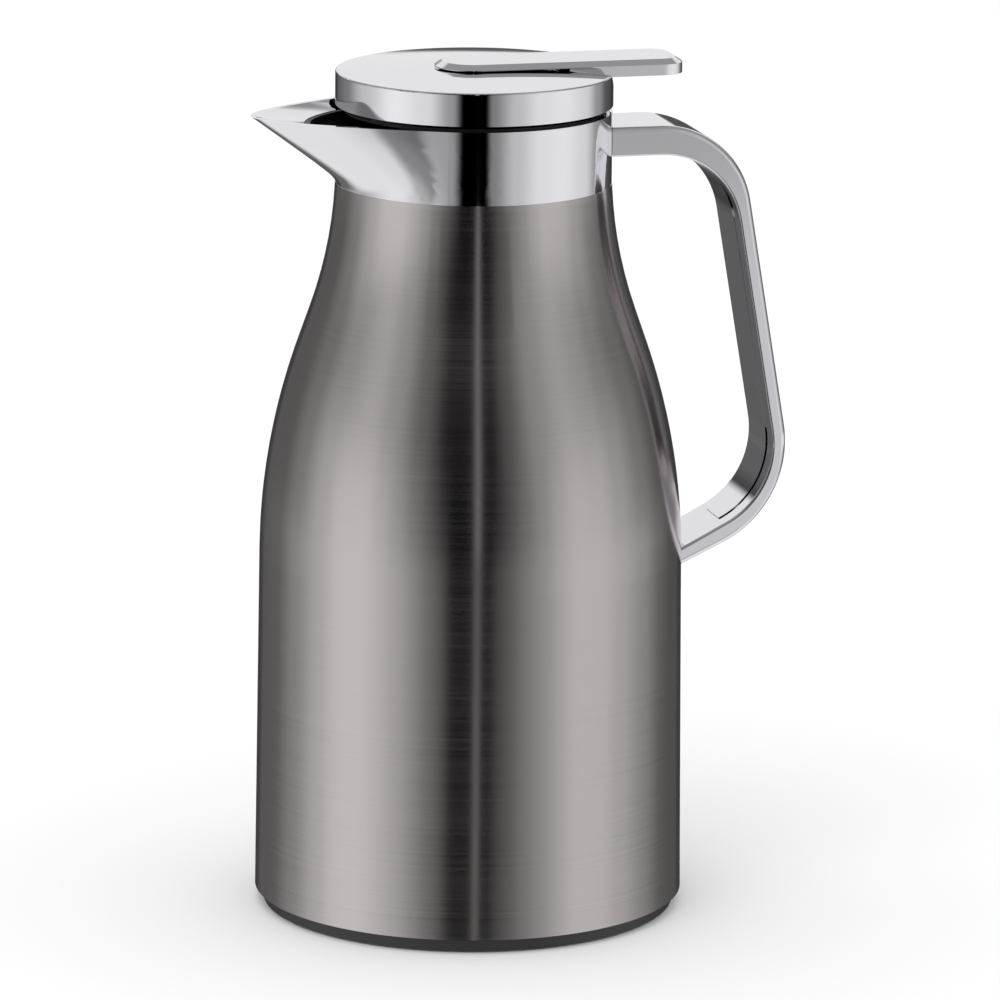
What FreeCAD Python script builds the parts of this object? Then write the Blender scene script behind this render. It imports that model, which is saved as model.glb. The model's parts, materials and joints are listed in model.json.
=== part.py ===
"""A press-to-pour thermal jug, built as separate pieces in one document. Lengths are in millimetres.

+Z is up and the origin is on the jug's axis, on the plane that it stands on. The spout points to -X and the
handle to +X, and the whole jug is alike on both sides of the XZ plane, apart from its thread.
"""
import FreeCAD, Part
import math
import os
from types import SimpleNamespace

import Sketcher

# The driving dimensions, by the piece that they belong to. Reaches are along X from the axis, angles are in
# degrees, and shares have no unit. Most radii and all heights over the standing plane follow from these.
SIZES = {
    # room between pieces, and how far a cut runs past the face that it opens
    "overrun": 3.0,
    "running_gap": 0.05,
    "pin_fit": 0.02,
    "seat_gap": 0.1,
    "travel_gap": 0.3,
    # outer casing, a spun shell whose sides lean in and then sweep up to the neck
    "casing_foot_radius": 62.3,
    "casing_foot_height": 4.4,
    "casing_side_lean": 1.4,
    "casing_side_height": 131.9,
    "casing_shoulder_bend_share": 0.51749,
    "casing_neck_lean": 0.98,
    "casing_shoulder_rise": 57.2,
    "casing_neck_bend_share": 0.92738,
    "casing_top_radius": 39.82,
    "casing_neck_rise": 19.5,
    "casing_wall": 0.8,
    "casing_hem_width": 4.8,
    "casing_lip_width": 5.32,
    # base cup and the soft ring that it stands on
    "base_rim_height": 0.5,
    "base_rim_inset": 2.5,
    "base_rim_top_inset": 1.7,
    "base_rim_lip": 2.0,
    "base_floor_height": 3.3,
    "base_floor_thickness": 2.0,
    "base_wall": 2.0,
    "base_wall_top": 13.0,
    "base_snap_depth": 0.9,
    "base_snap_height": 3.0,
    "foot_width": 5.0,
    "foot_rim_width": 2.8,
    "foot_groove_depth": 1.3,
    # cushion under the flask
    "cushion_foot_inset": 9.8,
    "cushion_foot_width": 18.0,
    "cushion_seat_inset": 19.8,
    "cushion_seat_width": 6.0,
    # glass vacuum flask
    "glass_wall": 1.8,
    "vacuum_gap": 3.7,
    "neck_vacuum_gap": 0.4,
    "cushion_height": 16.5,
    "flask_room": 7.1,
    "flask_corner_round": 20.0,
    "flask_side_height": 113.0,
    "flask_shoulder_round": 50.0,
    "flask_shoulder_rise": 30.0,
    "flask_neck_round": 27.0,
    "flask_neck_margin": 3.6,
    "neck_gasket_thickness": 2.8,
    "flask_lip_thickness": 2.0,
    "flask_pip_length": 8.0,
    "flask_pip_radius": 3.2,
    "flask_pip_end_radius": 1.6,
    "spacer_rise": 38.0,
    "spacer_tall": 12.0,
    "spacer_angle": 12.0,
    # seal between the flask's lip and the thread ring
    "neck_gasket_width": 5.0,
    # chromed collar, with the spout drawn out of it
    "collar_inset": 0.15,
    "collar_wall": 1.77,
    "collar_height": 21.0,
    "collar_ledge": 4.0,
    "collar_ledge_width": 5.67,
    "spout_reach": 25.8,
    "spout_root_reach": 0.05,
    "spout_side_pull": 27.0,
    "spout_tip_pull": 11.5,
    "spout_lip": 1.2,
    "spout_spread_angle": 65.0,
    "spout_bend_rise": 1.5,
    "spout_bend_size": 2.5,
    # dark throat inside the spout
    "throat_reach": 11.6,
    "throat_wall_height": 4.0,
    "spout_dish_depth": 3.0,
    "liner_wall": 1.6,
    "liner_floor": 2.0,
    # thread ring under the liner, and the ring that locks it to the casing
    "thread_ring_wall": 2.5,
    "thread_ring_inset": 2.0,
    "thread_ring_drop": 4.0,
    "thread_flange": 2.0,
    "thread_upstand_wall": 1.8,
    "thread_lead": 10.0,
    "thread_tooth": 2.0,
    "thread_ridge_depth": 1.6,
    "thread_lug_depth": 1.5,
    "thread_lug_rise": 0.35,
    "thread_arc_share": 0.1667,
    "seat_thickness": 3.0,
    "seat_width": 5.5,
    "lock_ring_inset": 3.02,
    "lock_ring_thickness": 2.7,
    # handle, a strap with a closing strip along its inner face
    "handle_width": 25.0,
    "handle_drop": 4.8,
    "handle_arm_thickness": 8.5,
    "handle_outer_bend_reach": 75.8,
    "handle_outer_bend_round": 27.5,
    "handle_bend_inset": 2.9,
    "handle_inner_bend_round": 24.0,
    "handle_outer_knee_reach": 95.15,
    "handle_fall": 113.6,
    "handle_outer_knee_round": 32.0,
    "handle_knee_inset": 5.09,
    "handle_knee_rise": 4.4,
    "handle_inner_knee_round": 25.0,
    "handle_arm_depth": 9.67,
    "handle_root_depth": 10.9,
    "handle_root_drop": 21.04,
    "handle_root_thickness": 4.57,
    "handle_outer_edge_round": 1.6,
    "handle_inner_edge_round": 0.7,
    "inlay_width": 12.6,
    "inlay_depth": 1.5,
    "inlay_proud": 0.3,
    "inlay_start_share": 0.488,
    "inlay_tail": 0.75,
    # what holds the handle
    "handle_screw_radius": 1.2,
    "handle_screw_head_radius": 2.5,
    "handle_screw_spacing": 13.0,
    "handle_screw_grip": 8.0,
    "lower_screw_grip": 3.6,
    "lower_screw_head": 1.6,
    "bracket_room": 0.44,
    "bracket_thickness": 2.0,
    "bracket_tall": 20.0,
    "bracket_angle": 30.0,
    # closure plug that screws into the thread ring
    "plug_room": 2.2,
    "plug_wall": 2.5,
    "closure_seal_thickness": 2.05,
    "plug_floor_thickness": 2.0,
    "plug_spigot_inset": 4.8,
    "plug_spigot_length": 3.85,
    "plug_spigot_lip": 0.9,
    "plug_spigot_lip_thickness": 1.2,
    "valve_port_radius": 12.0,
    "deck_drop": 0.4,
    "deck_thickness": 2.4,
    "deck_room": 0.8,
    "guide_boss_radius": 7.2,
    "guide_boss_length": 5.1,
    "window_width": 28.0,
    "window_sill": 2.35,
    "window_lintel": 1.6,
    "closure_seal_inset": 0.5,
    # lid cap
    "cap_overhang": 0.18,
    "lid_gap": 0.9,
    "cap_height": 10.3,
    "cap_edge_round": 0.5,
    "cap_crown_rise": 1.1,
    "cap_crown_share": 0.5,
    "cap_crown_round": 650.0,
    "cap_wall": 1.85,
    "cap_top_thickness": 1.8,
    "cap_chamfer": 1.0,
    "cap_chamfer_rise": 0.8,
    # hollow behind the lid's centre that gives the lever its room
    "scallop_start_reach": 24.0,
    "scallop_end_reach": 46.0,
    "scallop_drop_share": 0.3625,
    "scallop_floor_width": 24.0,
    "scallop_flank_share": 1.5,
    "scallop_round": 6.0,
    "pivot_block_inner_radius": 21.0,
    "pivot_block_clearance": 0.6,
    "pivot_block_angle": 66.0,
    # screws that hold the plug to the cap
    "lid_screw_inset": 6.4,
    "lid_screw_radius": 1.4,
    "lid_screw_length": 6.0,
    "lid_screw_head_radius": 2.8,
    "lid_screw_head": 1.6,
    "lid_boss_radius": 3.6,
    # lever and its pins
    "lever_front_reach": 11.5,
    "lever_rear_reach": 60.4,
    "lever_width": 22.0,
    "lever_plate": 1.6,
    "lever_thickness": 4.5,
    "lever_front_round": 10.8,
    "lever_rear_round": 7.0,
    "lever_bevel_width": 2.0,
    "lever_bevel_depth": 1.4,
    "lever_step_start_reach": 25.0,
    "lever_step_end_reach": 36.0,
    "pivot_inset": 9.85,
    "pivot_drop": 5.3,
    "lever_pin_radius": 1.5,
    "lever_pin_length": 28.0,
    "tongue_width": 11.8,
    "tongue_half_length": 3.2,
    "tongue_round": 3.0,
    "tongue_slot_room": 1.3,
    "ear_thickness": 2.2,
    "ear_half_length": 3.0,
    "ear_drop": 2.4,
    "ear_slot_room": 1.2,
    "link_pin_radius": 1.2,
    # valve
    "stem_radius": 2.5,
    "stem_foot_radius": 4.2,
    "stem_foot_thickness": 1.6,
    "stem_eye_width": 4.6,
    "stem_eye_half_length": 3.2,
    "stem_eye_half_height": 2.6,
    "stem_eye_play": 0.5,
    "valve_gasket_thickness": 1.2,
    "valve_gasket_lap": 1.8,
    "valve_gasket_inset": 0.3,
    "valve_disc_lap": 2.5,
    "valve_disc_thickness": 2.0,
    "bush_radius": 4.2,
    "bush_flange_radius": 6.0,
    "bush_flange": 1.2,
    "spring_wire_radius": 0.45,
    "spring_radius": 5.4,
}

# Counts and directions that aren't lengths.
SPRING_TURNS = 4
SPRING_ARCS_PER_TURN = 4
THREAD_STARTS = 2
SPACER_COUNT = 3
LID_SCREW_ANGLES = (60.0, 180.0, 300.0)
SPOUT_SECTION_SHARES = (0.0, 0.1, 0.2, 0.35, 0.55, 0.78, 1.0)
LEAST_SPRING_GAP_SHARE = 0.45
SAME_PLACE = 1e-9


class Size:
    """A length with its value and the expression that works it out from the sheet."""

    def __init__(self, value, text):
        self.value = value
        self.text = text

    def __add__(self, other):
        other = as_size(other)
        return Size(self.value + other.value, f"({self.text} + {other.text})")

    def __sub__(self, other):
        other = as_size(other)
        return Size(self.value - other.value, f"({self.text} - {other.text})")

    def __mul__(self, other):
        other = as_size(other)
        return Size(self.value * other.value, f"({self.text} * {other.text})")

    def __truediv__(self, other):
        other = as_size(other)
        return Size(self.value / other.value, f"({self.text} / {other.text})")

    def __neg__(self):
        return Size(-self.value, f"(-{self.text})")

    def root(self):
        """The square root, such as a length from the sum of two squares."""
        return Size(math.sqrt(self.value), f"sqrt({self.text})")


def as_size(number):
    """A plain number, such as zero or a factor, in the form that sums of sizes take."""
    return number if isinstance(number, Size) else Size(float(number), repr(float(number)))


def make_sheet():
    """Writes the driving dimensions to the document's sheet and gives them back as sizes by name."""
    sheet = doc.addObject("Spreadsheet::Sheet", "sizes")
    for row, (alias, value) in enumerate(SIZES.items(), start=1):
        sheet.set(f"A{row}", alias)
        sheet.set(f"B{row}", str(value))
        sheet.setAlias(f"B{row}", alias)
    doc.recompute()
    return SimpleNamespace(**{alias: Size(float(sheet.get(alias)), f"sizes.{alias}") for alias in SIZES})


def nest_body(size):
    """Radii of the casing, base, flask and collar, each tied to the piece that it fits."""
    size.casing_shoulder_radius = size.casing_foot_radius - size.casing_side_lean
    size.casing_hem_radius = size.casing_foot_radius - size.casing_hem_width
    size.casing_neck_radius = size.casing_top_radius + size.casing_neck_lean
    size.casing_lip_radius = size.casing_top_radius - size.casing_lip_width
    size.base_rim_radius = size.casing_foot_radius - size.base_rim_inset
    size.base_rim_top_radius = size.casing_foot_radius - size.base_rim_top_inset
    size.foot_outer_radius = size.base_rim_radius - size.foot_rim_width
    size.foot_inner_radius = size.foot_outer_radius - size.foot_width
    size.base_rim_inner_radius = size.foot_inner_radius - size.base_rim_lip
    size.collar_radius = size.casing_top_radius - size.collar_inset
    size.collar_ledge_radius = size.collar_radius - size.collar_ledge_width
    size.lock_ring_radius = size.casing_top_radius - size.lock_ring_inset
    size.thread_ring_radius = size.collar_ledge_radius - size.thread_ring_inset
    size.thread_bore_radius = size.thread_ring_radius - size.thread_ring_wall
    size.seat_bore_radius = size.thread_bore_radius - size.seat_width
    size.flask_radius = size.casing_shoulder_radius - size.flask_room
    size.flask_neck_radius = size.seat_bore_radius + size.flask_neck_margin
    size.cushion_foot_outer_radius = size.flask_radius - size.cushion_foot_inset
    size.cushion_foot_inner_radius = size.cushion_foot_outer_radius - size.cushion_foot_width
    size.cushion_seat_outer_radius = size.flask_radius - size.cushion_seat_inset
    size.cushion_seat_inner_radius = size.cushion_seat_outer_radius - size.cushion_seat_width


def nest_lid(size):
    """Radii of the closure plug, cap and valve, tied to the thread ring, the collar and the port."""
    size.plug_radius = size.thread_bore_radius - size.plug_room
    size.plug_spigot_radius = size.plug_radius - size.plug_spigot_inset
    size.closure_seal_radius = size.plug_radius - size.closure_seal_inset
    size.cap_radius = size.collar_radius + size.cap_overhang
    size.pivot_reach = size.cap_radius - size.pivot_inset
    size.deck_radius = size.cap_radius - size.cap_wall - size.deck_room
    size.lid_screw_circle_radius = size.deck_radius - size.lid_screw_inset
    size.valve_disc_radius = size.valve_port_radius + size.valve_disc_lap
    size.valve_gasket_radius = size.valve_disc_radius - size.valve_gasket_inset
    size.valve_gasket_inner_radius = size.valve_port_radius - size.valve_gasket_lap


def stack_body(size):
    """Heights of the casing, base, flask and collar from the standing plane up, and the casing's bends."""
    size.casing_shoulder_height = size.casing_foot_height + size.casing_side_height
    size.casing_neck_height = size.casing_shoulder_height + size.casing_shoulder_rise
    size.casing_top_height = size.casing_neck_height + size.casing_neck_rise
    foot = (size.casing_foot_radius, size.casing_foot_height)
    shoulder = (size.casing_shoulder_radius, size.casing_shoulder_height)
    neck = (size.casing_neck_radius, size.casing_neck_height)
    top = (size.casing_top_radius, size.casing_top_height)
    shoulder_bend = length_between(shoulder, neck) * size.casing_shoulder_bend_share
    size.casing_shoulder_round = shoulder_bend / bend_slope(foot, shoulder, neck)
    neck_bend = length_between(neck, top) * size.casing_neck_bend_share
    size.casing_neck_round = neck_bend / bend_slope(shoulder, neck, top)
    size.base_floor_top = size.base_floor_height + size.base_floor_thickness
    size.flask_bottom_height = size.base_floor_top + size.cushion_height + size.seat_gap * 2
    size.flask_shoulder_height = size.flask_bottom_height + size.flask_side_height
    size.flask_neck_corner_height = size.flask_shoulder_height + size.flask_shoulder_rise
    size.spacer_height = size.flask_bottom_height + size.spacer_rise
    size.thread_ring_bottom = size.casing_top_height - size.thread_ring_drop
    size.flask_lip_height = size.thread_ring_bottom - size.neck_gasket_thickness - size.seat_gap * 2
    size.collar_ledge_height = size.casing_top_height + size.collar_ledge
    size.collar_rim_height = size.casing_top_height + size.collar_height
    size.spout_bend_height = size.casing_top_height + size.spout_bend_rise
    size.throat_edge_height = size.collar_rim_height - size.spout_dish_depth
    size.throat_low_height = size.throat_edge_height - size.throat_wall_height


def stack_lid(size):
    """Heights of the closure plug, cap, lever and valve, stacked up from the thread ring and the collar."""
    size.seat_height = size.thread_ring_bottom + size.seat_thickness
    size.plug_floor_height = size.seat_height + size.closure_seal_thickness + size.travel_gap * 2
    size.plug_spigot_bottom = size.plug_floor_height - size.plug_spigot_length
    size.thread_lug_height = size.plug_floor_height + size.thread_lug_rise
    size.deck_height = size.collar_rim_height - size.deck_drop
    size.deck_top = size.deck_height + size.deck_thickness
    size.guide_boss_bottom = size.deck_height - size.guide_boss_length
    size.window_bottom = size.plug_floor_height + size.plug_floor_thickness + size.window_sill
    size.window_top = size.deck_height - size.window_lintel
    size.cap_bottom = size.collar_rim_height + size.lid_gap
    size.cap_chamfer_height = size.cap_bottom + size.cap_chamfer_rise
    size.cap_edge_height = size.cap_bottom + size.cap_height
    size.cap_crown_height = size.cap_edge_height + size.cap_crown_rise
    size.cap_ceiling_height = size.cap_edge_height - size.cap_top_thickness
    size.pivot_block_bottom = size.deck_top + size.pivot_block_clearance
    size.pivot_height = size.cap_crown_height - size.pivot_drop
    size.lever_top_height = size.cap_crown_height + size.travel_gap + size.lever_plate
    size.ear_bottom = size.pivot_height - size.ear_drop
    size.stem_eye_bottom = size.pivot_height - size.stem_eye_half_height
    size.stem_eye_top = size.pivot_height + size.stem_eye_half_height


def stack_handle(size):
    """The handle's corners, hung from the collar's rim, and the screws and plate that hold its arms."""
    size.handle_top_height = size.collar_rim_height - size.handle_drop
    size.handle_arm_height = size.handle_top_height - size.handle_arm_thickness
    size.handle_upper_root_reach = size.collar_radius - size.handle_arm_depth
    size.handle_lower_root_reach = size.casing_shoulder_radius - size.handle_root_depth
    size.handle_inner_bend_reach = size.handle_outer_bend_reach - size.handle_bend_inset
    size.handle_outer_knee_height = size.handle_top_height - size.handle_fall
    size.handle_inner_knee_reach = size.handle_outer_knee_reach - size.handle_knee_inset
    size.handle_inner_knee_height = size.handle_outer_knee_height + size.handle_knee_rise
    size.handle_outer_root_height = size.handle_outer_knee_height - size.handle_root_drop
    size.handle_inner_root_height = size.handle_outer_root_height + size.handle_root_thickness
    root = (size.handle_upper_root_reach, size.handle_arm_height)
    bend = (size.handle_inner_bend_reach, size.handle_arm_height)
    knee = (size.handle_inner_knee_reach, size.handle_inner_knee_height)
    straight = size.handle_inner_bend_reach - size.handle_inner_bend_round * bend_slope(root, bend, knee)
    free_arm = straight - size.collar_radius
    size.inlay_start_reach = size.collar_radius + free_arm * size.inlay_start_share
    size.upper_screw_height = size.handle_arm_height + size.handle_arm_thickness / 2
    along_arm = size.casing_shoulder_radius + size.lower_screw_grip / 2 - size.handle_lower_root_reach
    outer_run = size.handle_outer_knee_reach - size.handle_lower_root_reach
    inner_run = size.handle_inner_knee_reach - size.handle_lower_root_reach
    outer_rise = size.handle_root_drop * along_arm / outer_run
    inner_rise = (size.handle_inner_knee_height - size.handle_inner_root_height) * along_arm / inner_run
    inner_above = size.handle_root_thickness + inner_rise
    size.lower_screw_height = size.handle_outer_root_height + (outer_rise + inner_above) / 2
    size.bracket_bottom = size.lower_screw_height - size.bracket_tall / 2
    size.bracket_top = size.bracket_bottom + size.bracket_tall
    size.bracket_radius = casing_radius_at(size, size.bracket_top) - size.casing_wall - size.bracket_room
    size.lower_screw_tip = casing_radius_at(size, size.lower_screw_height) + size.lower_screw_grip


def length_between(start, stop):
    """How far apart two points of an outline are."""
    across = stop[0] - start[0]
    up = stop[1] - start[1]
    return (across * across + up * up).root()


def bend_slope(before, corner, after):
    """The tangent of half the outline's turn at a corner, to either side."""
    across_in, up_in = corner[0] - before[0], corner[1] - before[1]
    across_out, up_out = after[0] - corner[0], after[1] - corner[1]
    turned = up_in * across_out - across_in * up_out
    kept = across_in * across_out + up_in * up_out
    clockwise = turned if turned.value > 0 else -turned
    return clockwise / (length_between(before, corner) * length_between(corner, after) + kept)


def casing_radius_at(size, height):
    """The casing's radius at a height on its straight side."""
    lean = (size.casing_foot_radius - size.casing_shoulder_radius) / size.casing_side_height
    return size.casing_foot_radius - (height - size.casing_foot_height) * lean


doc = FreeCAD.newDocument("thermal_jug")
size = make_sheet()
nest_body(size)
nest_lid(size)
stack_body(size)
stack_lid(size)
stack_handle(size)
ZERO = as_size(0)
nodes = {}
volumes = {}


# Sketches and features

def new_body(name):
    """An empty body that becomes the node of that name."""
    body = doc.addObject("PartDesign::Body", name)
    body.Label = name
    nodes[name] = body
    return body


def new_sketch(body, role, offset=None):
    """A sketch on one of the body's own origin planes, or at an offset along that plane's normal."""
    sketch = body.newObject("Sketcher::SketchObject", f"{body.Name}_sketch")
    plane = next(part for part in body.Origin.OriginFeatures if part.Role == role)
    sketch.AttachmentSupport = (plane, [""])
    sketch.MapMode = "FlatFace"
    if offset is not None:
        sketch.setExpression(".AttachmentOffset.Base.z", offset.text)
    return sketch


def tie(sketch, kind, ends, length):
    """Adds a dimension to a sketch and binds it to the sheet."""
    index = sketch.addConstraint(Sketcher.Constraint(kind, *ends, length.value))
    sketch.setExpression(f"Constraints[{index}]", length.text)


def place(sketch, item, end, across, up):
    """Fixes one point of a sketch, measured from the sketch's origin."""
    for kind, axis, length in (("DistanceX", -2, across), ("DistanceY", -1, up)):
        if math.isclose(length.value, 0, abs_tol=SAME_PLACE):
            sketch.addConstraint(Sketcher.Constraint("PointOnObject", item, end, axis))
        elif length.value > 0:
            tie(sketch, kind, (-1, 1, item, end), length)
        else:
            tie(sketch, kind, (item, end, -1, 1), -length)


def corner_points(corners, closed):
    """Each corner's point with the points where its rounding leaves the outline's straight lines."""
    points = [FreeCAD.Vector(corner[0].value, corner[1].value, 0) for corner in corners]
    found = []
    for index, point in enumerate(points):
        rounded = len(corners[index]) > 2
        at_end = not closed and index in (0, len(points) - 1)
        if at_end or not rounded:
            found.append((point, point, point))
            continue
        before = (points[index - 1] - point).normalize()
        after = (points[(index + 1) % len(points)] - point).normalize()
        tangent_length = corners[index][2].value / math.tan(before.getAngle(after) / 2)
        found.append((point + before * tangent_length, point, point + after * tangent_length))
    return found


def rounding_arc(enter, point, leave, radius):
    """The arc that rounds a corner, and which of its ends the outline enters by."""
    before = (enter - point).normalize()
    after = (leave - point).normalize()
    half = before.getAngle(after) / 2
    centre = point + (before + after).normalize() * (radius / math.sin(half))
    start = enter - centre
    stop = leave - centre
    turns_left = before.cross(after).z < 0
    first, last = (start, stop) if turns_left else (stop, start)
    circle = Part.Circle(centre, FreeCAD.Vector(0, 0, 1), radius)
    arc = Part.ArcOfCircle(circle, math.atan2(first.y, first.x), math.atan2(last.y, last.x))
    return arc, (1, 2) if turns_left else (2, 1)


def outline(sketch, corners, closed=True):
    """Draws straight lines through corners, (across, up) or (across, up, rounding), tied to the sheet."""
    found = corner_points(corners, closed)
    count = len(corners)
    lines = []
    for index in range(count if closed else count - 1):
        start = found[index][2]
        stop = found[(index + 1) % count][0]
        lines.append(sketch.addGeometry(Part.LineSegment(start, stop)))
    for index, corner in enumerate(corners):
        enter, point, leave = found[index]
        if not closed and index == 0:
            place(sketch, lines[0], 1, corner[0], corner[1])
        elif not closed and index == count - 1:
            place(sketch, lines[-1], 2, corner[0], corner[1])
        elif len(corner) == 2:
            sketch.addConstraint(Sketcher.Constraint("Coincident", lines[index - 1], 2, lines[index], 1))
            place(sketch, lines[index], 1, corner[0], corner[1])
        else:
            arc, (end_in, end_out) = rounding_arc(enter, point, leave, corner[2].value)
            item = sketch.addGeometry(arc)
            sketch.addConstraint(Sketcher.Constraint("Tangent", lines[index - 1], 2, item, end_in))
            sketch.addConstraint(Sketcher.Constraint("Tangent", lines[index], 1, item, end_out))
            tie(sketch, "Radius", (item,), corner[2])
            mark = sketch.addGeometry(Part.Point(point), True)
            sketch.addConstraint(Sketcher.Constraint("PointOnObject", mark, 1, lines[index - 1]))
            sketch.addConstraint(Sketcher.Constraint("PointOnObject", mark, 1, lines[index]))
            place(sketch, mark, 1, corner[0], corner[1])


def circles(sketch, places, radius):
    """Draws equal circles at (across, up) places."""
    for across, up in places:
        item = sketch.addGeometry(Part.Circle(FreeCAD.Vector(across.value, up.value, 0),
                                              FreeCAD.Vector(0, 0, 1), radius.value))
        place(sketch, item, 3, across, up)
        tie(sketch, "Radius", (item,), radius)


def block(left, right, bottom, top):
    """The four corners of an upright rectangle."""
    return [(left, bottom), (right, bottom), (right, top), (left, top)]


def finish_feature(body, feature, removes):
    """Recomputes, and makes sure that the feature added or removed material as it should."""
    before = volumes.get(body.Name, 0)
    doc.recompute()
    volume = body.Shape.Volume
    if removes and not volume < before:
        raise RuntimeError(f"{feature.Name} cuts nothing")
    if not removes and not volume > before:
        raise RuntimeError(f"{feature.Name} adds nothing")
    volumes[body.Name] = volume
    return feature


def turn(body, corners, angle=None, removes=False):
    """Revolves an outline in the XZ plane about the jug's axis, all round or evenly to both sides of +X."""
    sketch = new_sketch(body, "XZ_Plane")
    outline(sketch, corners)
    kind = "Groove" if removes else "Revolution"
    feature = body.newObject(f"PartDesign::{kind}", f"{body.Name}_{kind.lower()}")
    feature.Profile = sketch
    feature.ReferenceAxis = (sketch, ["V_Axis"])
    if angle is None:
        feature.Angle = 360
    else:
        feature.Midplane = True
        feature.setExpression("Angle", angle.text)
    sketch.Visibility = False
    return finish_feature(body, feature, removes)


def extrude(body, sketch, length, removes=False, symmetric=False, backwards=False):
    """Pads or pockets a finished sketch, to one side of its plane or evenly to both."""
    kind = "Pocket" if removes else "Pad"
    feature = body.newObject(f"PartDesign::{kind}", f"{body.Name}_{kind.lower()}")
    feature.Profile = sketch
    feature.SideType = "Symmetric" if symmetric else "One side"
    feature.Reversed = backwards
    feature.setExpression("Length", length.text)
    return finish_feature(body, feature, removes)


def side_block(body, corners, width, removes=False):
    """A block with an outline in the XZ plane, as wide to both sides of it."""
    sketch = new_sketch(body, "XZ_Plane")
    outline(sketch, corners)
    return extrude(body, sketch, width, removes, symmetric=True)


def side_hole(body, across, up, radius, width):
    """A round hole along Y through both sides of the XZ plane."""
    sketch = new_sketch(body, "XZ_Plane")
    circles(sketch, [(across, up)], radius)
    return extrude(body, sketch, width, removes=True, symmetric=True)


def front_holes(body, places, radius, length):
    """Round holes along +X, drilled outwards from the YZ plane at (Y, Z) places."""
    sketch = new_sketch(body, "YZ_Plane")
    circles(sketch, places, radius)
    return extrude(body, sketch, length, removes=True, backwards=True)


def upright_holes(body, places, radius, bottom, top):
    """Round holes along Z from one height to another at (X, Y) places."""
    sketch = new_sketch(body, "XY_Plane", bottom)
    circles(sketch, places, radius)
    return extrude(body, sketch, top - bottom, removes=True, backwards=True)


def thread(body, inner_radius, outer_radius, bottom):
    """Thread teeth round the axis, one for each start of the thread."""
    sketch = new_sketch(body, "XZ_Plane")
    outline(sketch, block(inner_radius, outer_radius, bottom, bottom + size.thread_tooth))
    tooth = body.newObject("PartDesign::AdditiveHelix", f"{body.Name}_tooth")
    tooth.Profile = sketch
    tooth.ReferenceAxis = (sketch, ["V_Axis"])
    tooth.Mode = "pitch-height-angle"
    tooth.setExpression("Pitch", size.thread_lead.text)
    tooth.setExpression("Height", (size.thread_lead * size.thread_arc_share).text)
    finish_feature(body, tooth, removes=False)
    starts = body.newObject("PartDesign::PolarPattern", f"{body.Name}_starts")
    starts.Originals = [tooth]
    starts.Axis = (sketch, ["V_Axis"])
    starts.Angle = 360
    starts.Occurrences = THREAD_STARTS
    body.Tip = starts
    return finish_feature(body, starts, removes=False)


def edge_names(shape, wanted):
    """The names of a shape's edges that pass a test."""
    return [f"Edge{index}" for index, edge in enumerate(shape.Edges, start=1) if wanted(edge)]


def soften(body, base, names, radius):
    """Rounds some edges of the body's last feature."""
    fillet = body.newObject("PartDesign::Fillet", f"{body.Name}_fillet")
    fillet.Base = (base, names)
    fillet.setExpression("Radius", radius.text)
    return finish_feature(body, fillet, removes=True)


def group(name, members):
    """Equal separate solids that share one node."""
    compound = doc.addObject("Part::Compound", name)
    compound.Links = members
    compound.Label = name
    nodes[name] = compound


def shaped(name, shape):
    """A piece whose form neither sketches nor primitives give."""
    piece = doc.addObject("Part::Feature", name)
    piece.Shape = shape
    piece.Label = name
    nodes[name] = piece


# Casing and base

def casing_side(inset, top):
    """The casing's side from its foot up to a height near its top, moved in by an inset."""
    return [
        (size.casing_shoulder_radius - inset, size.casing_shoulder_height,
         size.casing_shoulder_round - inset),
        (size.casing_neck_radius - inset, size.casing_neck_height, size.casing_neck_round + inset),
        (size.casing_top_radius - inset, top),
    ]


def make_casing():
    """The spun shell, hemmed inwards at its foot and lipped inwards at its top."""
    body = new_body("outer_casing")
    foot = size.casing_foot_height
    top = size.casing_top_height
    wall = size.casing_wall
    side = [(ZERO, foot), (size.casing_foot_radius, foot)] + casing_side(ZERO, top)
    turn(body, side + [(ZERO, top)])
    inside = [
        (ZERO, foot - size.overrun),
        (size.casing_hem_radius, foot - size.overrun),
        (size.casing_hem_radius, foot + wall),
        (size.casing_foot_radius - wall, foot + wall),
    ]
    inside += casing_side(wall, top - wall)
    inside += [
        (size.casing_lip_radius, top - wall),
        (size.casing_lip_radius, top + size.overrun),
        (ZERO, top + size.overrun),
    ]
    turn(body, inside, removes=True)
    front_holes(body, lower_screw_places(), screw_clearance_radius(), size.lower_screw_tip)


def make_base_cup():
    """The black cup that closes the casing, snapped in over its hem, with a groove for the foot ring."""
    body = new_body("base_cup")
    bottom = size.base_rim_height
    rim_top = size.casing_foot_height - size.seat_gap
    wall = size.casing_hem_radius - size.seat_gap
    snap = size.casing_foot_height + size.casing_wall + size.seat_gap
    groove_top = bottom + size.foot_groove_depth
    turn(body, [
        (ZERO, size.base_floor_height),
        (size.base_rim_inner_radius, size.base_floor_height),
        (size.base_rim_inner_radius, bottom),
        (size.foot_inner_radius, bottom),
        (size.foot_inner_radius, groove_top),
        (size.foot_outer_radius, groove_top),
        (size.foot_outer_radius, bottom),
        (size.base_rim_radius, bottom),
        (size.base_rim_top_radius, rim_top),
        (wall, rim_top),
        (wall, snap),
        (wall + size.base_snap_depth, snap + size.base_snap_depth),
        (wall, snap + size.base_snap_height),
        (wall, size.base_wall_top),
        (wall - size.base_wall, size.base_wall_top),
        (wall - size.base_wall, size.base_floor_top),
        (ZERO, size.base_floor_top),
    ])


def make_foot_ring():
    """The soft ring in the base's groove, which the jug stands on."""
    body = new_body("foot_ring")
    top = size.base_rim_height + size.foot_groove_depth - size.seat_gap
    turn(body, block(size.foot_inner_radius + size.seat_gap, size.foot_outer_radius - size.seat_gap,
                     ZERO, top))


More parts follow.
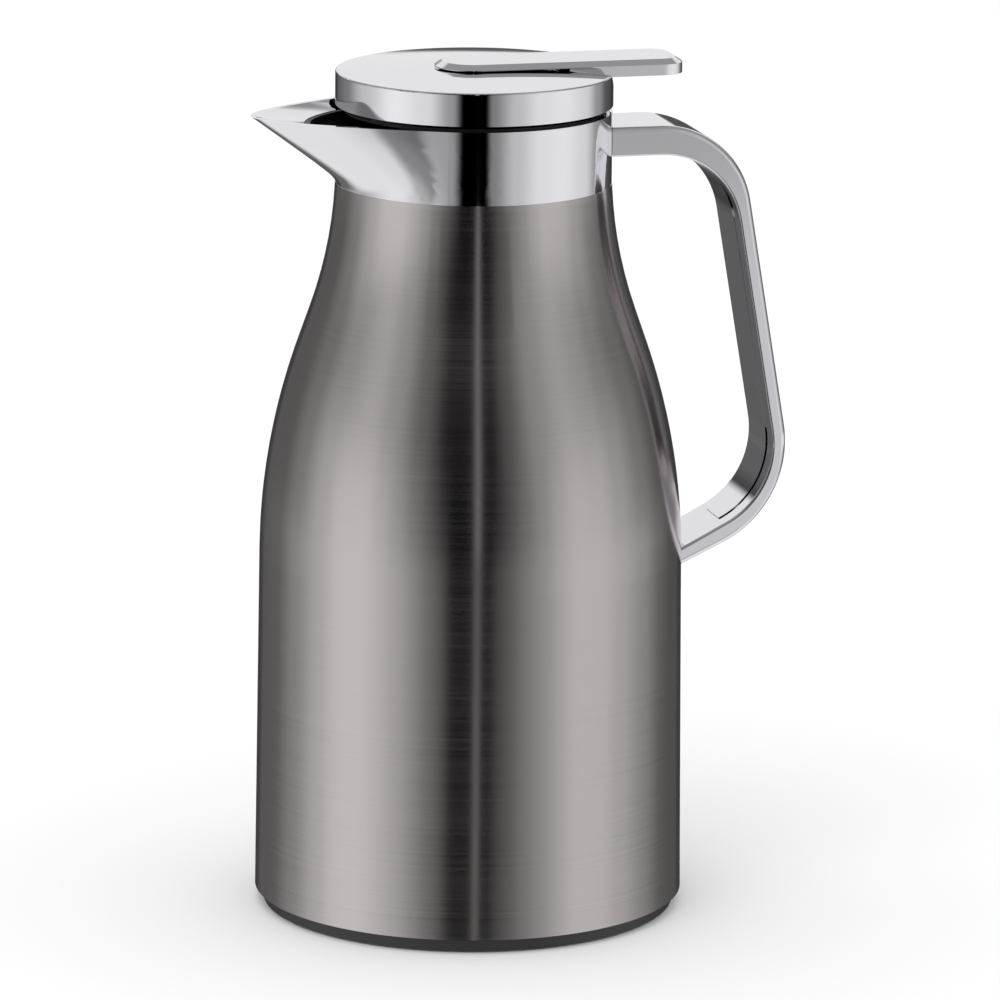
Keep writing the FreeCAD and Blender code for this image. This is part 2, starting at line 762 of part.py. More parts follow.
def make_cushion():
    """The tapered ring that carries the flask on the base's floor."""
    body = new_body("insert_cushion")
    bottom = size.base_floor_top + size.seat_gap
    top = size.flask_bottom_height - size.seat_gap
    turn(body, [
        (size.cushion_foot_inner_radius, bottom),
        (size.cushion_foot_outer_radius, bottom),
        (size.cushion_seat_outer_radius, top),
        (size.cushion_seat_inner_radius, top),
    ])


# Vacuum flask

def make_outer_flask():
    """The outer glass wall, with the sealed-off pip under its bottom."""
    body = new_body("flask_outer")
    bottom = size.flask_bottom_height
    top = size.flask_lip_height - size.flask_lip_thickness
    wall = size.glass_wall
    turn(body, [
        (ZERO, bottom - size.flask_pip_length),
        (size.flask_pip_end_radius, bottom - size.flask_pip_length),
        (size.flask_pip_radius, bottom),
        (size.flask_radius, bottom, size.flask_corner_round),
        (size.flask_radius, size.flask_shoulder_height, size.flask_shoulder_round),
        (size.flask_neck_radius, size.flask_neck_corner_height, size.flask_neck_round),
        (size.flask_neck_radius, top),
        (size.flask_neck_radius - wall, top),
        (size.flask_neck_radius - wall, size.flask_neck_corner_height, size.flask_neck_round + wall),
        (size.flask_radius - wall, size.flask_shoulder_height, size.flask_shoulder_round - wall),
        (size.flask_radius - wall, bottom + wall, size.flask_corner_round - wall),
        (ZERO, bottom + wall),
    ])


def make_inner_flask():
    """The inner glass wall, which turns out at the mouth into the lip that joins it to the outer one."""
    body = new_body("flask_inner")
    wall = size.glass_wall
    gap = size.vacuum_gap
    radius = size.flask_radius - wall - gap
    bottom = size.flask_bottom_height + wall + gap
    neck = inner_neck_radius()
    shoulder = size.flask_shoulder_height - gap / 2
    neck_corner = size.flask_neck_corner_height - gap
    lip_bottom = size.flask_lip_height - size.flask_lip_thickness
    turn(body, [
        (ZERO, bottom),
        (radius, bottom, size.flask_corner_round - wall),
        (radius, shoulder, size.flask_shoulder_round - wall),
        (neck + wall, neck_corner, size.flask_neck_round),
        (neck + wall, lip_bottom),
        (size.flask_neck_radius, lip_bottom),
        (size.flask_neck_radius, size.flask_lip_height),
        (neck, size.flask_lip_height),
        (neck, neck_corner, size.flask_neck_round + wall),
        (radius - wall, shoulder, size.flask_shoulder_round - wall - wall),
        (radius - wall, bottom + wall, size.flask_corner_round - wall - wall),
        (ZERO, bottom + wall),
    ])


def inner_neck_radius():
    """The flask's open width at its neck."""
    return size.flask_neck_radius - size.glass_wall - size.neck_vacuum_gap - size.glass_wall


def make_spacers():
    """Pads that keep the two glass walls apart."""
    members = []
    inner = size.flask_radius - size.glass_wall - size.vacuum_gap + size.seat_gap
    outer = size.flask_radius - size.glass_wall - size.seat_gap
    for index in range(SPACER_COUNT):
        body = doc.addObject("PartDesign::Body", f"spacer_{index}")
        turn(body, block(inner, outer, size.spacer_height, size.spacer_height + size.spacer_tall),
             size.spacer_angle)
        turned = FreeCAD.Rotation(FreeCAD.Vector(0, 0, 1), 360 * index / SPACER_COUNT)
        body.Placement = FreeCAD.Placement(FreeCAD.Vector(), turned)
        members.append(body)
    group("flask_spacers", members)


def make_neck_gasket():
    """The seal between the flask's lip and the thread ring."""
    body = new_body("neck_gasket")
    inner = inner_neck_radius()
    turn(body, block(inner, inner + size.neck_gasket_width, size.flask_lip_height + size.seat_gap,
                     size.thread_ring_bottom - size.seat_gap))


# Collar, spout and throat

def round_pull(radius):
    """The pull that keeps a side of the plan on its circle."""
    return radius * 4 / 3 * math.tan(math.radians(size.spout_spread_angle.value) / 4)


def egg(height, radius, reach, side_pull, tip_pull):
    """The plan at one height: a circle round the axis whose front is drawn out towards -X to a rounded tip.

    Each side leaves the circle along its tangent and comes to the tip square to the XZ plane. The pulls are
    how far it keeps to these two directions.
    """
    spread = math.radians(size.spout_spread_angle.value)

    def at(x, y):
        return FreeCAD.Vector(x, y, height)

    def side(sign):
        root = at(-radius * math.cos(spread), sign * radius * math.sin(spread))
        along = FreeCAD.Vector(-math.sin(spread), -sign * math.cos(spread), 0)
        tip = at(-radius - reach, 0)
        curve = Part.BezierCurve()
        curve.setPoles([root, root + along * side_pull, tip + FreeCAD.Vector(0, sign * tip_pull, 0), tip])
        return curve

    def back(sign):
        half = (math.pi - spread) / 2
        middle = at(radius * math.cos(half), sign * radius * math.sin(half))
        root = at(-radius * math.cos(spread), sign * radius * math.sin(spread))
        return Part.Arc(root, middle, at(radius, 0))

    return Part.Wire(Part.sortEdges([curve.toShape() for curve in (side(1), side(-1), back(-1), back(1))])[0])


def drawn_egg(height, radius, reach):
    """A plan whose sides are drawn as far from round as its reach is a share of the spout's."""
    share = reach / size.spout_reach.value
    held = round_pull(radius) * (1 - share)
    return egg(height, radius, reach, held + size.spout_side_pull.value * share,
               held + size.spout_tip_pull.value * share)


def spout_reach_at(height):
    """How far the spout stands out at a height: a soft bend over the seam, then a straight keel."""
    def ramp(level):
        above = level - size.spout_bend_height.value
        return (above + math.hypot(above, size.spout_bend_size.value)) / 2

    seam = ramp(size.casing_top_height.value)
    rim = ramp(size.collar_rim_height.value)
    root = size.spout_root_reach.value
    return root + (size.spout_reach.value - root) * (ramp(height) - seam) / (rim - seam)


def spout_section(share):
    """The collar's outer plan at a share of its height."""
    seam = size.casing_top_height.value
    height = seam + (size.collar_rim_height.value - seam) * share
    return drawn_egg(height, size.collar_radius.value, spout_reach_at(height))


def throat_section(height, inset, reach):
    """The plan of the hollow inside the collar at a height, made smaller by an inset."""
    return drawn_egg(height, size.collar_radius.value - size.collar_wall.value - inset, reach)


def throat_block(inset, bottom, low, top):
    """A block that fills the throat between two heights, whose front leans out up to a low height."""
    full = size.throat_reach.value
    sections = [
        throat_section(bottom, inset, size.spout_root_reach.value),
        throat_section(low, inset, full),
        throat_section(top, inset, full),
    ]
    return Part.makeLoft(sections, True, True)


def upper_screw_places():
    """Places (Y, Z) of the screws that hold the handle's upper arm."""
    half = size.handle_screw_spacing / 2
    return [(-half, size.upper_screw_height), (half, size.upper_screw_height)]


def lower_screw_places():
    """Places (Y, Z) of the screws that hold the handle's lower arm."""
    half = size.handle_screw_spacing / 2
    return [(-half, size.lower_screw_height), (half, size.lower_screw_height)]


def screw_clearance_radius():
    """A hole that a handle screw passes through freely."""
    return size.handle_screw_radius + size.seat_gap


def wall_reach(radius, aside):
    """How far out along +X a round wall stands, at a distance aside from the XZ plane."""
    return math.sqrt(radius ** 2 - aside ** 2)


def countersunk(aside, height, room, length):
    """A countersunk screw's form along +X, its head flush with the collar's inner wall, with some room."""
    spread = size.handle_screw_head_radius.value
    inner = wall_reach(size.collar_radius.value - size.collar_wall.value, abs(aside) - spread)
    outer = wall_reach(size.collar_radius.value, abs(aside) + spread)
    along = FreeCAD.Vector(1, 0, 0)
    head = Part.makeCone(size.handle_screw_head_radius.value + room, size.handle_screw_radius.value + room,
                         outer - inner, FreeCAD.Vector(inner, aside, height), along)
    shank = Part.makeCylinder(size.handle_screw_radius.value + room, length,
                              FreeCAD.Vector(inner, aside, height), along)
    return head.fuse(shank).removeSplitter()


def make_collar():
    """The chromed collar with its spout: a hollow shell over a ledge, dished inside the spout's lip."""
    outside = Part.makeLoft([spout_section(share) for share in SPOUT_SECTION_SHARES], True, False)
    rim = size.collar_rim_height.value
    edge = size.throat_edge_height.value
    lip = size.spout_lip.value
    overrun = size.overrun.value
    radius = size.collar_radius.value - size.collar_wall.value
    reach = size.spout_reach.value + size.collar_wall.value - lip
    throat = throat_block(0, size.collar_ledge_height.value, size.throat_low_height.value, edge)
    dish = Part.makeLoft([
        throat_section(edge, 0, size.throat_reach.value),
        egg(rim, radius, reach, size.spout_side_pull.value, size.spout_tip_pull.value - lip),
        egg(rim + overrun, radius, reach, size.spout_side_pull.value, size.spout_tip_pull.value - lip),
    ], True, True)
    seam = size.casing_top_height.value
    opening = Part.makeCylinder(size.collar_ledge_radius.value,
                                size.collar_ledge_height.value - seam + overrun + overrun,
                                FreeCAD.Vector(0, 0, seam - overrun))
    shape = outside.cut(throat).cut(dish).cut(opening)
    for aside, height in upper_screw_places():
        room = size.seat_gap.value
        shape = shape.cut(countersunk(aside.value, height.value, room, size.handle_screw_grip.value))
    shaped("collar", shape.removeSplitter())


def liner_floor_bottom():
    """The underside of the liner's floor, just over the thread ring's flange."""
    return size.collar_ledge_height + size.thread_flange + size.seat_gap * 2


def liner_floor_top():
    """The upper face of the liner's floor, level with the thread ring's upstand."""
    return liner_floor_bottom() + size.liner_floor


def make_liner():
    """The dark funnel inside the collar, open to the spout above and to the thread ring below."""
    gap = size.seat_gap.value
    wall = size.liner_wall.value
    bottom = liner_floor_bottom().value
    floor = liner_floor_top().value
    low = size.throat_low_height.value
    top = size.throat_edge_height.value - gap
    outside = throat_block(gap, bottom, low, top)
    inside = throat_block(gap + wall, floor, low + wall, top + size.overrun.value)
    bore = Part.makeCylinder(size.thread_bore_radius.value + size.thread_upstand_wall.value + gap,
                             size.liner_floor.value + size.overrun.value + size.overrun.value,
                             FreeCAD.Vector(0, 0, bottom - size.overrun.value))
    shaped("throat_liner", outside.cut(inside).cut(bore).removeSplitter())


def make_thread_ring():
    """The ring with the lid's thread: a seat at its foot, a flange on the collar's ledge and an upstand."""
    body = new_body("thread_ring")
    bottom = size.thread_ring_bottom
    flange_bottom = size.collar_ledge_height + size.seat_gap
    flange_top = flange_bottom + size.thread_flange
    flange_radius = size.collar_radius - size.collar_wall - size.seat_gap
    turn(body, [
        (size.seat_bore_radius, bottom),
        (size.thread_ring_radius, bottom),
        (size.thread_ring_radius, flange_bottom),
        (flange_radius, flange_bottom),
        (flange_radius, flange_top),
        (size.thread_bore_radius + size.thread_upstand_wall, flange_top),
        (size.thread_bore_radius + size.thread_upstand_wall, liner_floor_top()),
        (size.thread_bore_radius, liner_floor_top()),
        (size.thread_bore_radius, size.seat_height),
        (size.seat_bore_radius, size.seat_height),
    ])
    ridge_bottom = size.thread_lug_height + size.thread_tooth + size.travel_gap
    wall = size.thread_ring_radius - size.thread_bore_radius
    thread(body, size.thread_bore_radius - size.thread_ridge_depth, size.thread_bore_radius + wall / 2,
           ridge_bottom)


def make_lock_ring():
    """The ring under the casing's lip that draws the thread ring, collar and casing together."""
    body = new_body("lock_ring")
    top = size.casing_top_height - size.casing_wall - size.seat_gap
    turn(body, block(size.thread_ring_radius + size.seat_gap, size.lock_ring_radius,
                     top - size.lock_ring_thickness, top))


# Handle

def handle_inner_path():
    """The corners of the handle's inner face, from the collar down to the casing."""
    return [
        (size.handle_upper_root_reach, size.handle_arm_height),
        (size.handle_inner_bend_reach, size.handle_arm_height, size.handle_inner_bend_round),
        (size.handle_inner_knee_reach, size.handle_inner_knee_height, size.handle_inner_knee_round),
        (size.handle_lower_root_reach, size.handle_inner_root_height),
    ]


def handle_outer_path():
    """The corners of the handle's outer face, from the casing up to the collar."""
    return [
        (size.handle_lower_root_reach, size.handle_outer_root_height),
        (size.handle_outer_knee_reach, size.handle_outer_knee_height, size.handle_outer_knee_round),
        (size.handle_outer_bend_reach, size.handle_top_height, size.handle_outer_bend_round),
        (size.handle_upper_root_reach, size.handle_top_height),
    ]


def inlay_path():
    """The stretch of the inner face that the inlay closes."""
    bend, knee, root = handle_inner_path()[1:]
    reach = size.handle_inner_knee_round * bend_slope(bend, knee, root) + size.inlay_tail
    share = reach / length_between(knee, root)
    end = (knee[0] + (root[0] - knee[0]) * share, knee[1] + (root[1] - knee[1]) * share)
    return [(size.inlay_start_reach, size.handle_arm_height), bend, knee, end]


def strip(body, width, below, above, removes):
    """A flat strip along the inlay's path, from below the handle's inner face to above it."""
    path = new_sketch(body, "XZ_Plane")
    outline(path, inlay_path(), closed=False)
    section = new_sketch(body, "YZ_Plane", size.inlay_start_reach)
    face = size.handle_arm_height
    outline(section, block(-(width / 2), width / 2, face - below, face + above))
    kind = "Subtractive" if removes else "Additive"
    feature = body.newObject(f"PartDesign::{kind}Pipe", f"{body.Name}_strip")
    feature.Profile = section
    doc.recompute()
    feature.Spine = (path, [f"Edge{index}" for index in range(1, len(path.Shape.Edges) + 1)])
    return finish_feature(body, feature, removes)


def faces_outwards(face, centre):
    """Whether a face of the strap looks away from the grip's middle."""
    middle = face.CenterOfMass
    u, v = face.Surface.parameter(middle)
    return face.normalAt(u, v).dot(face.valueAt(u, v) - centre) > 0


def handle_edges(shape, outwards):
    """The long edges of the strap, round its outer or its inner face."""
    half = size.handle_width.value / 2
    low = size.handle_inner_knee_height.value
    high = size.handle_arm_height.value
    centre = FreeCAD.Vector(size.handle_lower_root_reach.value, 0, (low + high) / 2)
    chosen = []
    for face in shape.Faces:
        box = face.BoundBox
        runs_along = box.YLength > half and box.XMax > size.handle_lower_root_reach.value + half
        if runs_along and faces_outwards(face, centre) == outwards:
            chosen += [edge for edge in face.Edges if edge.BoundBox.YLength < half]
    return edge_names(shape, lambda edge: any(edge.isSame(one) for one in chosen))


def make_handle():
    """The chromed strap, with a channel for the inlay, cut to lie on the collar and the casing."""
    body = new_body("handle_shell")
    strap = side_block(body, handle_inner_path() + handle_outer_path(), size.handle_width)
    outer = soften(body, strap, handle_edges(strap.Shape, True), size.handle_outer_edge_round)
    soften(body, outer, handle_edges(outer.Shape, False), size.handle_inner_edge_round)
    gap = size.seat_gap
    strip(body, size.inlay_width + gap + gap, size.overrun, size.inlay_depth + gap, removes=True)
    bottom = size.casing_foot_height
    seam = size.casing_top_height
    side = [(ZERO, bottom), (size.casing_foot_radius + gap, bottom)] + casing_side(-gap, seam)
    cover = size.handle_top_height + size.overrun
    turn(body, side + [(size.collar_radius + gap, seam), (size.collar_radius + gap, cover), (ZERO, cover)],
         removes=True)
    hole = size.handle_screw_radius + size.pin_fit
    front_holes(body, upper_screw_places(), hole, size.collar_radius + size.handle_screw_grip)
    front_holes(body, lower_screw_places(), hole, size.lower_screw_tip + size.seat_gap)


def make_inlay():
    """The strip that closes the channel in the handle's inner face."""
    body = new_body("handle_inlay")
    strip(body, size.inlay_width, size.inlay_proud, size.inlay_depth, removes=False)


def make_bracket():
    """The plate inside the casing that backs the handle's lower end."""
    body = new_body("handle_bracket")
    turn(body, block(size.bracket_radius - size.bracket_thickness, size.bracket_radius,
                     size.bracket_bottom, size.bracket_top), size.bracket_angle)
    front_holes(body, lower_screw_places(), screw_clearance_radius(), size.bracket_radius + size.overrun)


def make_upper_screws():
    """Countersunk screws from inside the collar into the handle's upper arm."""
    members = []
    for index, (aside, height) in enumerate(upper_screw_places()):
        screw = doc.addObject("Part::Feature", f"upper_screw_{index}")
        length = size.handle_screw_grip.value
        screw.Shape = countersunk(aside.value, height.value, 0, length)
        members.append(screw)
    group("handle_upper_screws", members)


def make_lower_screws():
    """Pan-head screws from inside the casing, through the bracket, into the handle's lower arm."""
    members = []
    inner = size.bracket_radius - size.bracket_thickness
    along = FreeCAD.Rotation(FreeCAD.Vector(0, 1, 0), 90)
    for index, (aside, height) in enumerate(lower_screw_places()):
        seat = wall_reach(inner.value - size.handle_screw_head_radius.value / 2, aside.value)
        head = doc.addObject("Part::Cylinder", f"lower_screw_head_{index}")
        head.setExpression("Radius", size.handle_screw_head_radius.text)
        head.setExpression("Height", size.lower_screw_head.text)
        head.Placement = FreeCAD.Placement(
            FreeCAD.Vector(seat - size.lower_screw_head.value, aside.value, height.value), along)
        shank = doc.addObject("Part::Cylinder", f"lower_screw_shank_{index}")
        shank.setExpression("Radius", size.handle_screw_radius.text)
        shank.Height = size.lower_screw_tip.value - seat
        shank.Placement = FreeCAD.Placement(FreeCAD.Vector(seat, aside.value, height.value), along)
        screw = doc.addObject("Part::Fuse", f"lower_screw_{index}")
        screw.Base = head
        screw.Tool = shank
        members.append(screw)
    group("handle_lower_screws", members)


# Lid

def lid_screw_places():
    """Places (X, Y) of the screws that hold the plug to the cap."""
    places = []
    for angle in LID_SCREW_ANGLES:
        across = Size(math.cos(math.radians(angle)), f"cos({angle} deg)")
        aside = Size(math.sin(math.radians(angle)), f"sin({angle} deg)")
        places.append((size.lid_screw_circle_radius * across, size.lid_screw_circle_radius * aside))
    return places


def make_plug():
    """The closure plug: a threaded cup with a port in its floor, a window to the spout and a deck on top."""
    body = new_body("closure_plug")
    floor = size.plug_floor_height
    floor_top = floor + size.plug_floor_thickness
    inside = size.plug_radius - size.plug_wall
    spigot_lip = size.plug_spigot_radius + size.plug_spigot_lip
    lip_top = size.plug_spigot_bottom + size.plug_spigot_lip_thickness
    guide = size.bush_radius + size.seat_gap
    turn(body, [
        (size.valve_port_radius, size.plug_spigot_bottom),
        (spigot_lip, size.plug_spigot_bottom),
        (spigot_lip, lip_top),
        (size.plug_spigot_radius, lip_top),
        (size.plug_spigot_radius, floor),
        (size.plug_radius, floor),
        (size.plug_radius, size.deck_height),
        (size.deck_radius, size.deck_height),
        (size.deck_radius, size.deck_top),
        (guide, size.deck_top),
        (guide, size.guide_boss_bottom),
        (size.guide_boss_radius, size.guide_boss_bottom),
        (size.guide_boss_radius, size.deck_height),
        (inside, size.deck_height),
        (inside, floor_top),
        (size.valve_port_radius, floor_top),
    ])
    thread(body, size.plug_radius - size.plug_wall / 2, size.plug_radius + size.thread_lug_depth,
           size.thread_lug_height)
    window = new_sketch(body, "YZ_Plane")
    half = size.window_width / 2
    outline(window, block(-half, half, size.window_bottom, size.window_top))
    extrude(body, window, size.plug_radius + size.overrun, removes=True)
    upright_holes(body, lid_screw_places(), size.lid_screw_radius + size.seat_gap,
                  size.deck_height - size.seat_gap, size.deck_top + size.overrun)


def make_closure_seal():
    """The ring round the plug's spigot that rests on the thread ring's seat."""
    body = new_body("closure_seal")
    gap = size.travel_gap
    turn(body, block(size.plug_spigot_radius + gap, size.closure_seal_radius, size.seat_height + gap,
                     size.plug_floor_height - gap))


def cap_corners():
    """The cap's section: a crowned top, an upright side with a chamfered foot, and the hollow inside."""
    inside = size.cap_radius - size.cap_wall
    return [
        (ZERO, size.cap_ceiling_height),
        (inside, size.cap_ceiling_height),
        (inside, size.cap_bottom),
        (size.cap_radius - size.cap_chamfer, size.cap_bottom),
        (size.cap_radius, size.cap_chamfer_height),
        (size.cap_radius, size.cap_edge_height, size.cap_edge_round),
        (size.cap_radius * size.cap_crown_share, size.cap_crown_height, size.cap_crown_round),
        (ZERO, size.cap_crown_height),
    ]


def scallop_section(body, reach):
    """The hollow's outline across the lid at one reach, with a flat floor and leaning flanks."""
    sketch = new_sketch(body, "YZ_Plane", reach)
    floor = size.cap_crown_height - (reach - size.scallop_start_reach) * size.scallop_drop_share
    top = size.lever_top_height + size.overrun
    half = size.scallop_floor_width / 2
    open_half = half + (top - floor) * size.scallop_flank_share
    outline(sketch, [
        (-open_half, top),
        (-half, floor, size.scallop_round),
        (half, floor, size.scallop_round),
        (open_half, top),
    ])
    return sketch


def make_cap():
    """The chromed cap, hollowed at its back for the lever and slotted for the lever's tongue and ears."""
    body = new_body("lid_cap")
    turn(body, cap_corners())
    inside = size.cap_radius - size.cap_wall
    into_wall = inside + size.cap_wall / 2
    into_top = (size.cap_ceiling_height + size.cap_edge_height) / 2
    turn(body, block(size.pivot_block_inner_radius, into_wall, size.pivot_block_bottom, into_top),
         size.pivot_block_angle)
    boss_bottom = size.deck_top + size.seat_gap
    bosses = new_sketch(body, "XY_Plane", boss_bottom)
    circles(bosses, lid_screw_places(), size.lid_boss_radius)
    extrude(body, bosses, into_top - boss_bottom)
    scallop = body.newObject("PartDesign::SubtractiveLoft", "lid_cap_scallop")
    scallop.Profile = scallop_section(body, size.scallop_start_reach)
    scallop.Sections = [scallop_section(body, size.scallop_end_reach)]
    scallop.Ruled = True
    finish_feature(body, scallop, removes=True)
    top = size.lever_top_height
    tongue_room = size.tongue_half_length + size.tongue_slot_room
    side_block(body, block(size.pivot_reach - tongue_room, size.pivot_reach + tongue_room,
                           size.pivot_block_bottom - size.overrun, top),
               size.tongue_width + size.travel_gap * 2, removes=True)
    ear_room = size.ear_half_length + size.ear_slot_room
    side_block(body, block(-ear_room, ear_room, size.cap_ceiling_height - size.overrun, top),
               ears_width() + size.travel_gap * 2, removes=True)
    side_hole(body, size.pivot_reach, size.pivot_height, size.lever_pin_radius + size.pin_fit,
              size.lever_pin_length)
    upright_holes(body, lid_screw_places(), size.lid_screw_radius + size.pin_fit,
                  boss_bottom - size.overrun, size.deck_height + size.lid_screw_length + size.seat_gap)


def make_lid_screws():
    """Pan-head screws from under the plug's deck into the cap's bosses."""
    members = []
    top = size.deck_height - size.seat_gap
    for index, angle in enumerate(LID_SCREW_ANGLES):
        body = doc.addObject("PartDesign::Body", f"lid_screw_{index}")
        turn(body, [
            (ZERO, top - size.lid_screw_head),
            (size.lid_screw_head_radius, top - size.lid_screw_head),
            (size.lid_screw_head_radius, top),
            (size.lid_screw_radius, top),
            (size.lid_screw_radius, top + size.lid_screw_length),
            (ZERO, top + size.lid_screw_length),
        ])
        turned = FreeCAD.Rotation(FreeCAD.Vector(0, 0, 1), angle)
        spot = turned.multVec(FreeCAD.Vector(size.lid_screw_circle_radius.value, 0, 0))
        body.Placement = FreeCAD.Placement(spot, turned)
        members.append(body)
    group("lid_screws", members)


# Lever and pins

def ears_width():
    """How wide the lever's two ears are over all, with the stem's eye between them."""
    return size.stem_eye_width + size.travel_gap * 2 + size.ear_thickness * 2


def make_lever():
    """The chromed lever: a bevelled bar with a tongue at its pivot and two ears over the stem."""
    body = new_body("lever")
    half = size.lever_width / 2
    bottom = size.lever_top_height - size.lever_thickness
    plan = new_sketch(body, "XY_Plane", bottom)
    outline(plan, [
        (-size.lever_front_reach, -half, size.lever_front_round),
        (size.lever_rear_reach, -half, size.lever_rear_round),
        (size.lever_rear_reach, half, size.lever_rear_round),
        (-size.lever_front_reach, half, size.lever_front_round),
    ])
    bar = extrude(body, plan, size.lever_thickness)
    top = size.lever_top_height.value
    tolerance = size.pin_fit.value
    bevel = body.newObject("PartDesign::Chamfer", "lever_bevel")
    bevel.Base = (bar, edge_names(bar.Shape, lambda edge: edge.BoundBox.ZMin > top - tolerance))
    bevel.ChamferType = "Two distances"
    bevel.setExpression("Size", size.lever_bevel_depth.text)
    bevel.setExpression("Size2", size.lever_bevel_width.text)
    finish_feature(body, bevel, removes=True)
    under = size.cap_crown_height + size.travel_gap
    below = bottom - size.overrun
    front = -(size.lever_front_reach + size.overrun)
    side_block(body, [
        (front, below),
        (size.lever_step_end_reach, below),
        (size.lever_step_end_reach, bottom),
        (size.lever_step_start_reach, under),
        (front, under),
    ], size.lever_width + size.overrun, removes=True)
    into_bar = (under + size.lever_top_height) / 2
    length = size.tongue_half_length
    tongue_bottom = size.pivot_height - size.tongue_round
    side_block(body, [
        (size.pivot_reach - length, tongue_bottom, size.tongue_round),
        (size.pivot_reach + length, tongue_bottom, size.tongue_round),
        (size.pivot_reach + length, into_bar),
        (size.pivot_reach - length, into_bar),
    ], size.tongue_width)
    ear = size.ear_half_length
    side_block(body, block(-ear, ear, size.ear_bottom, into_bar), ears_width())
    clear = ear + size.overrun
    side_block(body, block(-clear, clear, size.ear_bottom - size.overrun, under),
               size.stem_eye_width + size.travel_gap * 2, removes=True)
    side_hole(body, size.pivot_reach, size.pivot_height, size.lever_pin_radius + size.running_gap,
              size.lever_width)
    side_hole(body, ZERO, size.pivot_height, size.link_pin_radius + size.pin_fit, size.lever_width)


def make_pin(name, reach, radius, length):
    """A plain pin along Y at the pivot's height."""
    pin = doc.addObject("Part::Cylinder", name)
    pin.Label = name
    pin.setExpression("Radius", radius.text)
    pin.setExpression("Height", length.text)
    pin.setExpression(".Placement.Base.x", reach.text)
    pin.setExpression(".Placement.Base.y", (length / 2).text)
    pin.setExpression(".Placement.Base.z", size.pivot_height.text)
    pin.Placement.Rotation = FreeCAD.Rotation(FreeCAD.Vector(1, 0, 0), 90)
    nodes[name] = pin


# Valve

def gasket_bottom():
    """The valve gasket's underside, just over the port's rim."""
    return size.plug_floor_height + size.plug_floor_thickness + size.travel_gap


def disc_bottom():
    """The valve disc's underside, on its gasket."""
    return gasket_bottom() + size.valve_gasket_thickness + size.seat_gap


def make_valve_gasket():
    """The soft ring that closes the port."""
    body = new_body("valve_gasket")
    turn(body, block(size.valve_gasket_inner_radius, size.valve_gasket_radius, gasket_bottom(),
                     gasket_bottom() + size.valve_gasket_thickness))


def make_valve_disc():
    """The disc that carries the gasket, with a hub that centres it."""
    body = new_body("valve_disc")
    hub = size.valve_gasket_inner_radius - size.seat_gap
    top = disc_bottom() + size.valve_disc_thickness
    hole = size.stem_radius + size.pin_fit
    turn(body, [
        (hole, gasket_bottom() + size.valve_gasket_thickness / 2),
        (hub, gasket_bottom() + size.valve_gasket_thickness / 2),
        (hub, disc_bottom()),
        (size.valve_disc_radius, disc_bottom()),
        (size.valve_disc_radius, top),
        (hole, top),
    ])


def make_valve_stem():
    """The stem from its foot under the disc up to the slotted eye that the lever's link pin lifts."""
    body = new_body("valve_stem")
    foot_top = gasket_bottom() + size.valve_gasket_thickness / 2 - size.seat_gap
    half = size.stem_eye_half_length
    turn(body, [
        (ZERO, foot_top - size.stem_foot_thickness),
        (size.stem_foot_radius, foot_top - size.stem_foot_thickness),
        (size.stem_foot_radius, foot_top),
        (size.stem_radius, foot_top),
        (size.stem_radius, size.stem_eye_bottom + size.seat_gap),
        (ZERO, size.stem_eye_bottom + size.seat_gap),
    ])
    side_block(body, block(-half, half, size.stem_eye_bottom, size.stem_eye_top), size.stem_eye_width)
    reach = size.link_pin_radius + size.running_gap
    play = reach + size.stem_eye_play
    rounding = reach - size.pin_fit
    side_block(body, [
        (-play, size.pivot_height - reach, rounding),
        (play, size.pivot_height - reach, rounding),
        (play, size.pivot_height + reach, rounding),
        (-play, size.pivot_height + reach, rounding),
    ], size.stem_eye_width + size.overrun, removes=True)


def make_bush():
    """The bush in the plug's deck that guides the stem."""
    body = new_body("stem_bush")
    bore = size.stem_radius + size.running_gap
    flange = size.deck_top + size.seat_gap
    turn(body, [
        (bore, size.guide_boss_bottom),
        (size.bush_radius, size.guide_boss_bottom),
        (size.bush_radius, flange),
        (size.bush_flange_radius, flange),
        (size.bush_flange_radius, flange + size.bush_flange),
        (bore, flange + size.bush_flange),
    ])


def make_spring():
    """The coil that presses the valve disc down, one unbroken wire from the disc to the guide's boss."""
    wire = size.spring_wire_radius.value
    low = disc_bottom().value + size.valve_disc_thickness.value + size.seat_gap.value + wire
    high = size.guide_boss_bottom.value - size.seat_gap.value - wire
    rise = (high - low) / SPRING_TURNS

    def at(turns):
        angle = 2 * math.pi * turns
        radius = size.spring_radius.value
        return FreeCAD.Vector(radius * math.cos(angle), radius * math.sin(angle), low + rise * turns)

    step = 1 / SPRING_ARCS_PER_TURN
    arcs = [Part.Arc(at(index * step), at((index + 0.5) * step), at((index + 1) * step)).toShape()
            for index in range(SPRING_TURNS * SPRING_ARCS_PER_TURN)]
    path = Part.Wire(arcs)
    section = Part.Wire(Part.makeCircle(wire, at(0), arcs[0].tangentAt(arcs[0].FirstParameter)))
    coil = path.makePipeShell([section], True, False)
    gap = rise - 2 * wire
    print(f"spring: least gap between turns {gap:.2f} mm")
    if gap < LEAST_SPRING_GAP_SHARE * 2 * wire:
        raise RuntimeError("the spring's turns are too close")
    shaped("valve_spring", coil)


